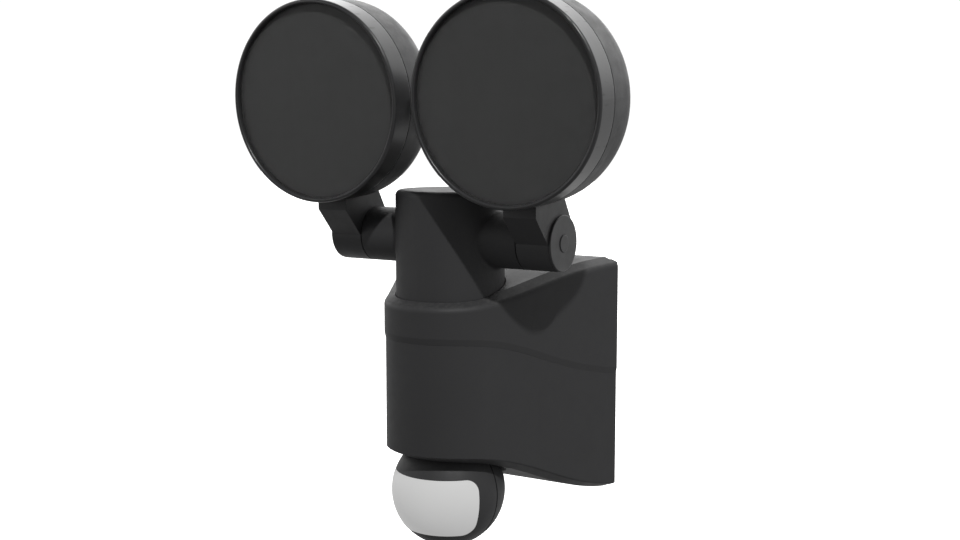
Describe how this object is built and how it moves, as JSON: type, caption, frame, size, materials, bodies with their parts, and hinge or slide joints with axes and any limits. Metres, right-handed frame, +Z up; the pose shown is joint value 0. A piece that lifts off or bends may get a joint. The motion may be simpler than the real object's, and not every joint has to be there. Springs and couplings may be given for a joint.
{
  "type": "motion sensor floodlight",
  "caption": "Wall-mounted twin floodlight: round tilting lamp heads on a swivelling neck, a flared housing and a ball-shaped motion sensor below.",
  "frame": {"origin": "centre of the wall bracket's rear face, on the wall", "axes": "+X to the right, -Y forward away from the wall, +Z up; +Y is the outward normal of the rear face"},
  "size_m": [0.2048, 0.108, 0.2719],
  "materials": {
    "housing_plastic": "fine moulded texture, dark grey",
    "inner_plastic": "plain black moulding",
    "sensor_plastic": "satin dark grey moulding",
    "arm_metal": "fine powder coat, dark grey",
    "lamp_shell": "textured powder coat on a die casting",
    "bezel_satin": "satin gloss dark grey",
    "cap_plastic": "satin dark grey",
    "smoked_lens": "dark smoked panel",
    "fresnel_window": "translucent white",
    "black_rubber": "matte black",
    "foam": "closed-cell foam",
    "zinc_steel": "zinc plated",
    "circuit_board": "green solder mask",
    "led_board_white": "white solder mask on aluminium",
    "led_phosphor": "yellow phosphor",
    "reflector_white": "glossy white",
    "transformer_core": "ferrite",
    "capacitor_can": "sleeved can",
    "relay_case": "blue moulding",
    "terminal_plastic": "natural polyamide",
    "detector_can": "nickel plated can",
    "dial_plastic": "grey knob"
  },
  "bodies": {
    "base": {"wall_bracket": "zinc_steel", "wall_gasket": "foam", "main_housing": "housing_plastic", "back_cover": "inner_plastic", "back_cover_seal": "black_rubber", "back_cover_screws": "zinc_steel", "cable_grommet": "black_rubber", "housing_screws": "zinc_steel", "driver_board": "circuit_board", "board_screws": "zinc_steel", "transformer": "transformer_core", "capacitors": "capacitor_can", "relay": "relay_case", "terminal_block": "terminal_plastic", "terminal_screws": "zinc_steel", "sensor_stem_retainer": "inner_plastic"},
    "neck": {"neck_post": "housing_plastic", "neck_retaining_ring": "zinc_steel", "neck_o_ring": "black_rubber"},
    "left_head": {"left_arm": "arm_metal", "left_arm_screws": "zinc_steel", "left_hub_seal": "black_rubber", "left_hub_cap": "cap_plastic", "left_hub_plug": "cap_plastic", "left_pivot_clip": "zinc_steel", "left_rear_shell": "lamp_shell", "left_bezel": "bezel_satin", "left_bezel_seal": "black_rubber", "left_lens": "smoked_lens", "left_lens_gasket": "black_rubber", "left_reflector": "reflector_white", "left_led_board": "led_board_white", "left_leds": "led_phosphor", "left_led_board_screws": "zinc_steel"},
    "right_head": {"right_arm": "arm_metal", "right_arm_screws": "zinc_steel", "right_hub_seal": "black_rubber", "right_hub_cap": "cap_plastic", "right_hub_plug": "cap_plastic", "right_pivot_clip": "zinc_steel", "right_rear_shell": "lamp_shell", "right_bezel": "bezel_satin", "right_bezel_seal": "black_rubber", "right_lens": "smoked_lens", "right_lens_gasket": "black_rubber", "right_reflector": "reflector_white", "right_led_board": "led_board_white", "right_leds": "led_phosphor", "right_led_board_screws": "zinc_steel"},
    "sensor_stem": {"sensor_stem": "sensor_plastic"},
    "sensor_head": {"sensor_pivot_pin": "zinc_steel", "sensor_front_shell": "sensor_plastic", "sensor_rear_shell": "sensor_plastic", "sensor_lens": "fresnel_window", "sensor_board": "circuit_board", "pyro_sensor": "detector_can", "sensor_shell_screws": "zinc_steel"},
    "time_dial": {"time_dial": "dial_plastic"},
    "lux_dial": {"lux_dial": "dial_plastic"}
  },
  "joints": [
    {"name": "neck_swivel", "type": "hinge", "parent": "base", "child": "neck", "pos_m": [0, -0.064, 0.04], "axis": [0, 0, 1], "range_deg": [-35, 35]},
    {"name": "left_head_tilt", "type": "hinge", "parent": "neck", "child": "left_head", "pos_m": [-0.053, -0.064, 0.0723], "axis": [1, 0, 0], "range_deg": [-20, 60]},
    {"name": "right_head_tilt", "type": "hinge", "parent": "neck", "child": "right_head", "pos_m": [0.053, -0.064, 0.0723], "axis": [1, 0, 0], "range_deg": [-20, 60]},
    {"name": "sensor_pan", "type": "hinge", "parent": "base", "child": "sensor_stem", "pos_m": [0, -0.0662, -0.0193], "axis": [0, 0, 1], "range_deg": [-45, 45]},
    {"name": "sensor_tilt", "type": "hinge", "parent": "sensor_stem", "child": "sensor_head", "pos_m": [0, -0.0662, -0.0543], "axis": [1, 0, 0], "range_deg": [-15, 15]},
    {"name": "time_dial_turn", "type": "hinge", "parent": "sensor_head", "child": "time_dial", "pos_m": [-0.00735, -0.05353, -0.07456], "axis": [-0.2938, 0.5066, -0.8106], "range_deg": [0, 270]},
    {"name": "lux_dial_turn", "type": "hinge", "parent": "sensor_head", "child": "lux_dial", "pos_m": [0.00735, -0.05353, -0.07456], "axis": [0.2938, 0.5066, -0.8106], "range_deg": [0, 270]}
  ]
}
